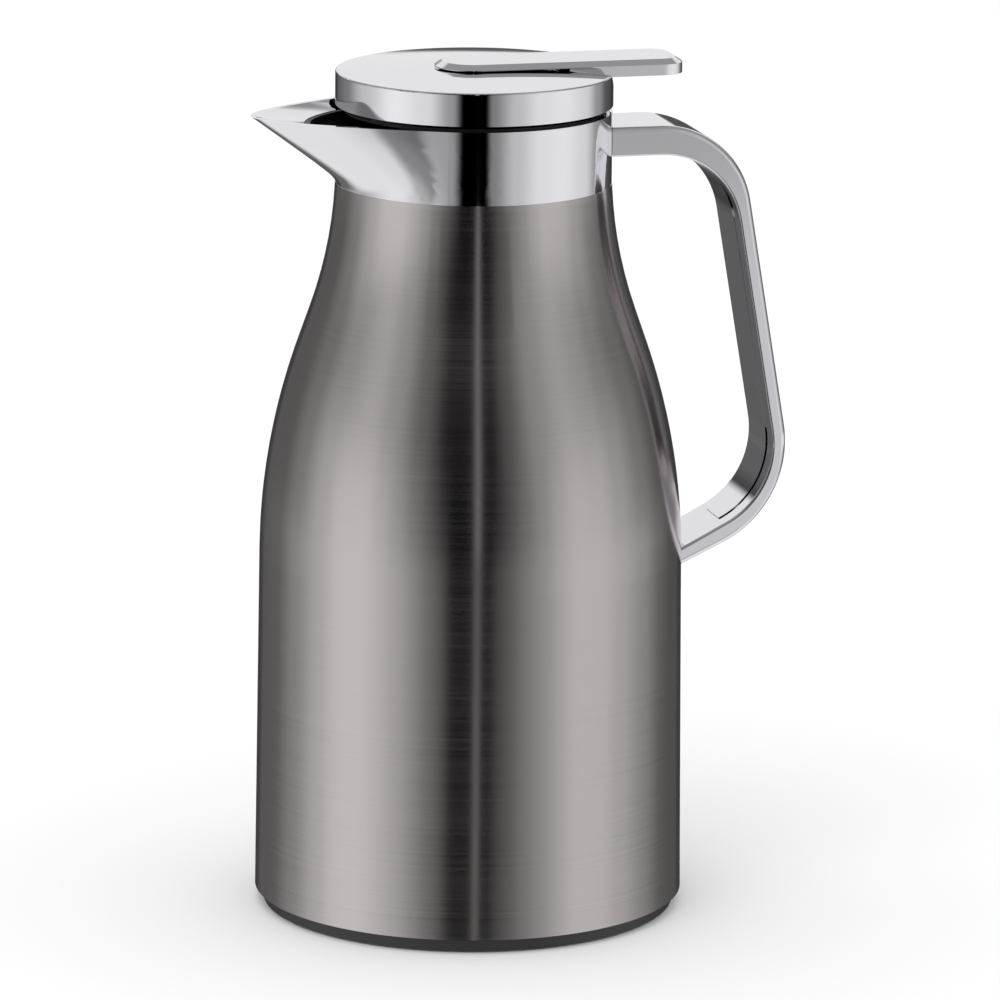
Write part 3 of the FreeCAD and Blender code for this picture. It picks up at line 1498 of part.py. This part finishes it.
def check_and_export():
    """Stops on any failed object, then writes one file for each node."""
    doc.recompute()
    for item in doc.Objects:
        if "Invalid" in item.State or "Error" in item.State:
            raise RuntimeError(f"{item.Label} failed: {item.State}")
    os.makedirs("parts", exist_ok=True)
    for name, item in nodes.items():
        shape = item.Shape
        if shape.isNull() or not shape.isValid():
            raise RuntimeError(f"{name} has no valid shape")
        if item.Label != name:
            raise RuntimeError(f"{name} has the label {item.Label}")
    for name, item in nodes.items():
        item.Shape.exportStep(f"parts/{name}.step")
        print(f"{name}: {len(item.Shape.Solids)} solid(s), {item.Shape.Volume / 1000:.2f} cm3")


make_casing()
make_base_cup()
make_foot_ring()
make_cushion()
make_outer_flask()
make_inner_flask()
make_spacers()
make_neck_gasket()
make_collar()
make_liner()
make_thread_ring()
make_lock_ring()
make_handle()
make_inlay()
make_bracket()
make_upper_screws()
make_lower_screws()
make_plug()
make_closure_seal()
make_cap()
make_lid_screws()
make_lever()
make_pin("lever_pin", size.pivot_reach, size.lever_pin_radius, size.lever_pin_length)
make_pin("link_pin", ZERO, size.link_pin_radius, ears_width())
make_valve_gasket()
make_valve_disc()
make_valve_stem()
make_bush()
make_spring()
check_and_export()
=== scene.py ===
"""Looks of the thermal jug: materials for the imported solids, a white studio and the photograph's camera."""

import json
import math

import bpy
from mathutils import Matrix, Vector

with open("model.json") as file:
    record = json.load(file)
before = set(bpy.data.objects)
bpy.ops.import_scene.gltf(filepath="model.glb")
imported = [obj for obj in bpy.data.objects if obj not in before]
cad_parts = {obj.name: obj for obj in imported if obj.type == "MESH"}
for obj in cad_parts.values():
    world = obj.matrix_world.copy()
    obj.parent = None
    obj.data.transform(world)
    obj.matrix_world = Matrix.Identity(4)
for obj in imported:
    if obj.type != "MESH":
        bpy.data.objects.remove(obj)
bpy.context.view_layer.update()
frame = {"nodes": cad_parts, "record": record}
nodes = frame["nodes"]

# Camera of the photograph: the jug is turned by VIEW_TURN about its upright axis, and the camera stands
# CAMERA_BACK metres in front of that axis. Angles are in degrees.
VIEW_TURN = 14.6
CAMERA_BACK = 2.0778
CAMERA_HEIGHT = 0.5974
CAMERA_PITCH = 12.964
CAMERA_PAN = 0.234
CAMERA_ROLL = 0.556
CAMERA_REACH = 50.0
FOCAL_LENGTH_PX = 7354.3
PHOTO_WIDTH_PX = 1000
SENSOR_MM = 36.0

# Studio: rows of cards round the jug, which show only as reflections. A row lists angles in degrees, from the
# camera's side and positive to its right, each with its brightness.
# What upright sides of the casing mirror. A colour ramp takes 32 stops at most.
LOW_CARDS = (
    (-180, 0.1), (-168, 0.05), (-160, 0.05), (-152, 0.13), (-146, 0.13), (-130, 0.14), (-110, 0.3), (-90, 0.64),
    (-76, 0.87), (-60, 0.88), (-50, 0.72), (-40, 0.5), (-30, 0.28), (-22, 0.14), (-15, 0.04), (-10, 0.0),
    (11, 0.0), (16, 0.03), (22, 0.1), (30, 0.22), (40, 0.41), (50, 0.63), (60, 0.78), (76, 0.74),
    (90, 0.54), (110, 0.28), (130, 0.12), (146, 0.11), (152, 0.11), (160, 0.05), (168, 0.05), (180, 0.1),
)
# What the collar and the lid's edge mirror: a narrow row within the low one.
COLLAR_CARDS = (
    (-180, 0.12), (-164, 0.04), (-150, 0.14), (-132, 0.22), (-102, 0.63), (-68, 1.0), (-40, 0.84),
    (-18, 0.36), (-9, 0.0), (10, 0.0), (16, 0.25), (36, 0.61), (58, 0.88), (80, 0.94),
    (106, 0.78), (124, 0.34), (142, 0.1), (164, 0.04), (180, 0.12),
)
# What the casing's neck mirrors.
HIGH_CARDS = (
    (-180, 0.88), (-174, 0.86), (-166, 0.06), (-150, 0.06), (-130, 0.13), (-110, 0.22), (-90, 0.4), (-64, 0.6),
    (-48, 0.44), (-30, 0.16), (-14, 0.0), (12, 0.0), (22, 0.12), (40, 0.4), (60, 0.56), (76, 0.46),
    (90, 0.33), (110, 0.2), (130, 0.13), (150, 0.06), (166, 0.06), (174, 0.86), (180, 0.88),
)
# What the tops of lid and lever mirror.
TOP_CARDS = (
    (-180, 0.9), (-146, 0.9), (-130, 0.4), (-110, 0.22), (-90, 0.4), (-64, 0.6), (-48, 0.44),
    (-30, 0.16), (-14, 0.0), (12, 0.0), (22, 0.12), (40, 0.4), (60, 0.56), (76, 0.46),
    (90, 0.33), (110, 0.2), (130, 0.4), (146, 0.9), (180, 0.9),
)
# What faces that look downwards mirror, above the white table.
UNDER_CARDS = (
    (-180, 0.12), (-150, 0.16), (-120, 0.5), (-68, 0.95), (-40, 0.84), (-18, 0.4), (-9, 0.0), (10, 0.0),
    (18, 0.16), (32, 0.24), (46, 0.3), (66, 0.8), (100, 0.8), (130, 0.3), (150, 0.16), (180, 0.12),
)
# Heights between which a row comes in, as the upward share of a direction. The collar's row comes in and goes
# out again.
HIGH_BLEND = (0.05, 0.23)
TOP_BLEND = (0.2, 0.27)
COLLAR_LOW_BLEND = (-0.222, -0.19)
COLLAR_HIGH_BLEND = (-0.13, -0.15)
UNDER_BLEND = (-0.31, -0.42)
# Plain areas: a light panel behind the jug, the white table below and a grey ceiling.
BACK_ANGLES = (162, 170)
BACK_BLEND = (0.072, 0.09)
BACK_LIGHT = 0.88
TABLE_BLEND = (-0.5, -0.7)
TABLE_LIGHT = 0.92
CEILING_BLEND = (0.55, 0.7)
CEILING_LIGHT = 0.34
# A narrow light strip in the dark gap on the camera's side, in degrees.
STRIP_ANGLE = 4.0
STRIP_HALF_WIDTH = 2.6
STRIP_LIGHT = 0.4
# What matt surfaces take in from all round, and what the camera sees behind the jug.
DIFFUSE_LIGHT = 1.0
BACKDROP_LIGHT = 1.0

# The table top and the lamp above it, in metres and watts.
FLOOR_HALF_WIDTH = 6.0
FLOOR_COLOURS = ((0.97, 0.97, 0.97), (0.98, 0.98, 0.98))
FLOOR_GRAIN = 3.0
KEY_PLACE = (-0.9, -1.2, 2.2)
KEY_SIZE = 1.6
KEY_WATTS = 9.0

# Materials: a pattern of noise runs from the first colour and roughness to the second. Roughness turns within
# the band of values that the pattern mostly has. A relief is a strength and a depth in metres.
PATTERN_BAND = (0.3, 0.7)
CASING_FINE_LINES = (9.0, 9.0, 3200.0)
CASING_COARSE_LINES = (5.0, 5.0, 700.0)
CASING_FINE_SHARE = 0.82
CASING_COARSE_SHARE = 0.18
CASING_COLOURS = ((0.545, 0.508, 0.506), (0.605, 0.563, 0.561))
CASING_ROUGHNESS = (0.17, 0.22)
CASING_RELIEF = (0.02, 0.0001)
CASING_STRETCH = 0.8
QUARTER_TURN = 0.25
CHROME_HAZE = 26.0
CHROME_HAZE_STRETCH = (1.0, 1.0, 0.4)
CHROME_BAND = (0.35, 0.7)
CHROME_COLOURS = ((0.782, 0.77, 0.806), (0.814, 0.802, 0.838))
CHROME_ROUGHNESS = (0.03, 0.06)
# Added to the normal of the handle's flat sides, so that they are shaded as if they leaned back and up.
STRAP_LEAN = (0.1, 0.0, 0.025)
MOULDED_WEAR = 45.0
MOULDED_SPREAD = 0.05
MOULDED_RELIEF = (0.15, 0.00015)
PLASTIC_COLOURS = ((0.012, 0.012, 0.0125), (0.02, 0.02, 0.021))
PLASTIC_ROUGHNESS = 0.42
PLASTIC_GRAIN = 2600.0
RUBBER_COLOURS = ((0.014, 0.014, 0.014), (0.024, 0.024, 0.024))
RUBBER_ROUGHNESS = 0.7
RUBBER_GRAIN = 1800.0
STEEL_MARKS = (300.0, 300.0, 1800.0)
STEEL_COLOURS = ((0.5, 0.5, 0.505), (0.62, 0.62, 0.625))
STEEL_ROUGHNESS = (0.22, 0.34)
GLASS_HAZE = 30.0
GLASS_COLOURS = ((0.7, 0.73, 0.74), (0.8, 0.82, 0.83))
GLASS_ROUGHNESS = (0.05, 0.12)
GLASS_COAT = 0.6
FELT_FIBRES = 900.0
FELT_COLOURS = ((0.42, 0.41, 0.38), (0.62, 0.61, 0.57))
FELT_ROUGHNESS = 0.9
FELT_RELIEF = (0.4, 0.0003)


# Node helpers

def new_material(name):
    """An empty node material with its shader."""
    material = bpy.data.materials.new(name)
    material.use_nodes = True
    tree = material.node_tree
    return material, tree, tree.nodes["Principled BSDF"]


def add(tree, kind, **values):
    """Adds a node and sets its own properties."""
    node = tree.nodes.new(kind)
    for name, value in values.items():
        setattr(node, name, value)
    return node


def feed(tree, socket, source):
    """Links a socket, or sets it where the source is a plain value."""
    if isinstance(source, bpy.types.NodeSocket):
        tree.links.new(source, socket)
    else:
        socket.default_value = source


def math_node(tree, operation, first, second=0.0):
    """The result of an operation on one or two numbers."""
    node = add(tree, "ShaderNodeMath", operation=operation)
    feed(tree, node.inputs[0], first)
    feed(tree, node.inputs[1], second)
    return node.outputs[0]


def map_range(tree, value, low, high, to_low=0.0, to_high=1.0):
    """A number moved smoothly from one range to another."""
    node = add(tree, "ShaderNodeMapRange", interpolation_type="SMOOTHSTEP")
    for socket, source in zip(node.inputs[:5], (value, low, high, to_low, to_high)):
        feed(tree, socket, source)
    return node.outputs[0]


def object_noise(tree, scale, stretch=(1.0, 1.0, 1.0), detail=3.0):
    """Noise that is fixed to the object, stretched along its axes."""
    place = add(tree, "ShaderNodeTexCoord")
    mapping = add(tree, "ShaderNodeMapping")
    tree.links.new(place.outputs["Object"], mapping.inputs["Vector"])
    mapping.inputs["Scale"].default_value = stretch
    noise = add(tree, "ShaderNodeTexNoise")
    tree.links.new(mapping.outputs["Vector"], noise.inputs["Vector"])
    noise.inputs["Scale"].default_value = scale
    noise.inputs["Detail"].default_value = detail
    return noise.outputs["Fac"]


def bump(tree, height, strength, distance):
    """A surface relief from a height."""
    node = add(tree, "ShaderNodeBump")
    node.inputs["Strength"].default_value = strength
    node.inputs["Distance"].default_value = distance
    tree.links.new(height, node.inputs["Height"])
    return node.outputs["Normal"]


def blend(tree, factor, first, second, how="MIX"):
    """Two colours mixed by a factor."""
    node = add(tree, "ShaderNodeMix", data_type="RGBA", blend_type=how)
    feed(tree, node.inputs["Factor"], factor)
    feed(tree, node.inputs["A"], first)
    feed(tree, node.inputs["B"], second)
    return node.outputs["Result"]


def grey(light):
    """A colour without a tint."""
    return (light, light, light, 1.0)


def tint(tree, shader, pattern, colours):
    """Colours a surface by a pattern."""
    first, second = ((*colour, 1.0) for colour in colours)
    feed(tree, shader.inputs["Base Color"], blend(tree, pattern, first, second))


def roughen(tree, shader, pattern, roughness, band=PATTERN_BAND):
    """Roughens a surface by a pattern."""
    feed(tree, shader.inputs["Roughness"], map_range(tree, pattern, *band, *roughness))


# Materials

def brushed_casing():
    """Tinted steel, brushed round the body: hair-fine level lines that spread reflections up and down."""
    material, tree, shader = new_material("tinted_brushed_steel")
    fine = object_noise(tree, 1.0, CASING_FINE_LINES, 2.0)
    coarse = object_noise(tree, 1.0, CASING_COARSE_LINES, 2.0)
    lines = math_node(tree, "ADD", math_node(tree, "MULTIPLY", fine, CASING_FINE_SHARE),
                      math_node(tree, "MULTIPLY", coarse, CASING_COARSE_SHARE))
    tint(tree, shader, lines, CASING_COLOURS)
    roughen(tree, shader, lines, CASING_ROUGHNESS)
    feed(tree, shader.inputs["Normal"], bump(tree, lines, *CASING_RELIEF))
    shader.inputs["Metallic"].default_value = 1.0
    shader.inputs["Anisotropic"].default_value = CASING_STRETCH
    shader.inputs["Anisotropic Rotation"].default_value = QUARTER_TURN
    around = add(tree, "ShaderNodeTangent", direction_type="RADIAL", axis="Z")
    tree.links.new(around.outputs["Tangent"], shader.inputs["Tangent"])
    return material


def polished_chrome(name):
    """Bright plating with the faintest haze where it has been wiped."""
    material, tree, shader = new_material(name)
    haze = object_noise(tree, CHROME_HAZE, CHROME_HAZE_STRETCH, 4.0)
    tint(tree, shader, haze, CHROME_COLOURS)
    roughen(tree, shader, haze, CHROME_ROUGHNESS, CHROME_BAND)
    shader.inputs["Metallic"].default_value = 1.0
    return material


def crowned_chrome(name, lean):
    """The same plating on a strap, whose flat sides are shaded as if they leaned a little."""
    material = polished_chrome(name)
    tree = material.node_tree
    surface = add(tree, "ShaderNodeNewGeometry").outputs["Normal"]
    across = add(tree, "ShaderNodeVectorMath", operation="DOT_PRODUCT")
    feed(tree, across.inputs[0], surface)
    across.inputs[1].default_value = (0, 1, 0)
    leaning = add(tree, "ShaderNodeVectorMath", operation="SCALE")
    leaning.inputs[0].default_value = lean
    feed(tree, leaning.inputs["Scale"], math_node(tree, "ABSOLUTE", across.outputs["Value"]))
    turned = add(tree, "ShaderNodeVectorMath", operation="ADD")
    feed(tree, turned.inputs[0], surface)
    feed(tree, turned.inputs[1], leaning.outputs["Vector"])
    unit = add(tree, "ShaderNodeVectorMath", operation="NORMALIZE")
    feed(tree, unit.inputs[0], turned.outputs["Vector"])
    feed(tree, tree.nodes["Principled BSDF"].inputs["Normal"], unit.outputs["Vector"])
    return material


def moulded(name, colours, roughness, grain_scale):
    """Moulded plastic or rubber with a fine spark-eroded grain."""
    material, tree, shader = new_material(name)
    grain = object_noise(tree, grain_scale, detail=2.0)
    wear = object_noise(tree, MOULDED_WEAR)
    tint(tree, shader, wear, colours)
    roughen(tree, shader, wear, (roughness - MOULDED_SPREAD, roughness + MOULDED_SPREAD))
    feed(tree, shader.inputs["Normal"], bump(tree, grain, *MOULDED_RELIEF))
    return material


def plain_metal():
    """Turned or drawn steel of screws, pins, stem, spring and bracket."""
    material, tree, shader = new_material("plain_steel")
    marks = object_noise(tree, 1.0, STEEL_MARKS, 2.0)
    tint(tree, shader, marks, STEEL_COLOURS)
    roughen(tree, shader, marks, STEEL_ROUGHNESS)
    shader.inputs["Metallic"].default_value = 1.0
    return material


def silvered_glass():
    """Glass silvered on its hidden side, so it mirrors softly."""
    material, tree, shader = new_material("silvered_glass")
    haze = object_noise(tree, GLASS_HAZE)
    tint(tree, shader, haze, GLASS_COLOURS)
    roughen(tree, shader, haze, GLASS_ROUGHNESS)
    shader.inputs["Metallic"].default_value = 1.0
    shader.inputs["Coat Weight"].default_value = GLASS_COAT
    return material


def felt():
    """Pressed felt of the pads between the glass walls."""
    material, tree, shader = new_material("pressed_felt")
    fibres = object_noise(tree, FELT_FIBRES, detail=4.0)
    tint(tree, shader, fibres, FELT_COLOURS)
    feed(tree, shader.inputs["Normal"], bump(tree, fibres, *FELT_RELIEF))
    shader.inputs["Roughness"].default_value = FELT_ROUGHNESS
    return material


def paint():
    """Gives each solid the material of its slot in the record, or its own one."""
    looks = {
        "casing_steel": brushed_casing(),
        "chrome": polished_chrome("polished_chrome"),
        "dark_plastic": moulded("dark_plastic", PLASTIC_COLOURS, PLASTIC_ROUGHNESS, PLASTIC_GRAIN),
        "soft_rubber": moulded("soft_rubber", RUBBER_COLOURS, RUBBER_ROUGHNESS, RUBBER_GRAIN),
        "plain_steel": plain_metal(),
        "silvered_glass": silvered_glass(),
        "spacer_felt": felt(),
    }
    own_looks = {"handle_shell": crowned_chrome("strap_chrome", STRAP_LEAN)}
    for part in frame["record"]["subparts"]:
        slots = nodes[part["node"]].data.materials
        slots.clear()
        slots.append(own_looks.get(part["node"], looks[part["material_slot"]]))


# Studio

def camera_turn():
    """Turns a direction seen from the camera's side into the jug's own axes."""
    return Matrix.Rotation(math.radians(-VIEW_TURN), 3, "Z")


def angle_ramp(tree, factor, cards):
    """Brightness round the jug, from a list of (angle, brightness)."""
    ramp = add(tree, "ShaderNodeValToRGB")
    ramp.color_ramp.interpolation = "EASE"
    stops = ramp.color_ramp.elements
    while len(stops) < len(cards):
        stops.new(0.5)
    # All places first, because the stops are sorted by place while they move.
    for stop, (angle, light) in zip(stops, cards):
        stop.position = (angle + 180) / 360
    for stop, (angle, light) in zip(stops, cards):
        stop.color = grey(light)
    tree.links.new(factor, ramp.inputs["Fac"])
    return ramp.outputs["Color"]


def make_world():
    """White behind the jug for the camera, and cards of several greys round it for what shines."""
    world = bpy.data.worlds.new("studio")
    bpy.context.scene.world = world
    world.use_nodes = True
    tree = world.node_tree
    background = tree.nodes["Background"]
    place = add(tree, "ShaderNodeTexCoord")

    def along(direction):
        node = add(tree, "ShaderNodeVectorMath", operation="DOT_PRODUCT")
        tree.links.new(place.outputs["Generated"], node.inputs[0])
        node.inputs[1].default_value = direction
        return node.outputs["Value"]

    towards = along(camera_turn() @ Vector((0, -1, 0)))
    rightwards = along(camera_turn() @ Vector((1, 0, 0)))
    upwards = along(Vector((0, 0, 1)))
    angle = math_node(tree, "ARCTAN2", rightwards, towards)
    share = math_node(tree, "ADD", math_node(tree, "DIVIDE", angle, 2 * math.pi), 0.5)

    def within(heights):
        return map_range(tree, upwards, *heights)

    def row(cards):
        return angle_ramp(tree, share, cards)

    lit = blend(tree, within(HIGH_BLEND), row(LOW_CARDS), row(HIGH_CARDS))
    turned = map_range(tree, math_node(tree, "ABSOLUTE", angle), *map(math.radians, BACK_ANGLES))
    behind = math_node(tree, "MULTIPLY", turned, within(BACK_BLEND))
    lit = blend(tree, behind, lit, grey(BACK_LIGHT))
    lit = blend(tree, within(TOP_BLEND), lit, row(TOP_CARDS))
    beside = math_node(tree, "ABSOLUTE", math_node(tree, "SUBTRACT", angle, math.radians(STRIP_ANGLE)))
    strip = map_range(tree, beside, 0.0, math.radians(STRIP_HALF_WIDTH), STRIP_LIGHT, 0.0)
    lit = blend(tree, strip, lit, grey(1.0), "ADD")
    collar = math_node(tree, "MULTIPLY", within(COLLAR_LOW_BLEND), within(COLLAR_HIGH_BLEND))
    lit = blend(tree, collar, lit, row(COLLAR_CARDS))
    lit = blend(tree, within(UNDER_BLEND), lit, row(UNDER_CARDS))
    lit = blend(tree, within(TABLE_BLEND), lit, grey(TABLE_LIGHT))
    lit = blend(tree, within(CEILING_BLEND), lit, grey(CEILING_LIGHT))
    ray = add(tree, "ShaderNodeLightPath")
    mirrored = math_node(tree, "MAXIMUM", ray.outputs["Is Glossy Ray"], ray.outputs["Is Transmission Ray"])
    shining = blend(tree, mirrored, grey(DIFFUSE_LIGHT), lit)
    seen = blend(tree, ray.outputs["Is Camera Ray"], shining, grey(BACKDROP_LIGHT))
    tree.links.new(seen, background.inputs["Color"])
    background.inputs["Strength"].default_value = 1.0


def make_floor():
    """A plain white table top that takes the jug's soft shadow."""
    half = FLOOR_HALF_WIDTH
    corners = [(-half, -half, 0), (half, -half, 0), (half, half, 0), (-half, half, 0)]
    mesh = bpy.data.meshes.new("floor")
    mesh.from_pydata(corners, [], [(0, 1, 2, 3)])
    floor = bpy.data.objects.new("floor", mesh)
    bpy.context.scene.collection.objects.link(floor)
    material, tree, shader = new_material("white_table")
    tint(tree, shader, object_noise(tree, FLOOR_GRAIN), FLOOR_COLOURS)
    shader.inputs["Roughness"].default_value = 1.0
    shader.inputs["Specular IOR Level"].default_value = 0.0
    mesh.materials.append(material)
    floor.visible_glossy = False


def make_key():
    """One large soft lamp from above, for the shadow under the jug."""
    light = bpy.data.lights.new("key", "AREA")
    light.shape = "DISK"
    light.size = KEY_SIZE
    light.energy = KEY_WATTS
    lamp = bpy.data.objects.new("key", light)
    lamp.location = KEY_PLACE
    lamp.rotation_euler = (-Vector(KEY_PLACE)).to_track_quat("-Z", "Y").to_euler()
    lamp.visible_glossy = False
    bpy.context.scene.collection.objects.link(lamp)


def make_camera():
    """The photograph's camera."""
    pitch, pan, roll = (math.radians(angle) for angle in (CAMERA_PITCH, CAMERA_PAN, CAMERA_ROLL))
    ahead = Vector((math.sin(pan) * math.cos(pitch), math.cos(pan) * math.cos(pitch), -math.sin(pitch)))
    level_right = Vector((math.cos(pan), -math.sin(pan), 0))
    level_up = level_right.cross(ahead)
    right = level_right * math.cos(roll) + level_up * math.sin(roll)
    up = level_up * math.cos(roll) - level_right * math.sin(roll)
    turn = camera_turn()
    axes = [turn @ right, turn @ up, turn @ -ahead]
    place = turn @ Vector((0, -CAMERA_BACK, CAMERA_HEIGHT))
    matrix = Matrix.Identity(4)
    for column, axis in enumerate((*axes, place)):
        for row in range(3):
            matrix[row][column] = axis[row]
    data = bpy.data.cameras.new("camera")
    data.sensor_width = SENSOR_MM
    data.lens = FOCAL_LENGTH_PX * SENSOR_MM / PHOTO_WIDTH_PX
    data.clip_end = CAMERA_REACH
    camera = bpy.data.objects.new("camera", data)
    camera.matrix_world = matrix
    bpy.context.scene.collection.objects.link(camera)
    bpy.context.scene.camera = camera


paint()
make_world()
make_floor()
make_key()
make_camera()
bpy.context.scene.view_settings.view_transform = "Standard"
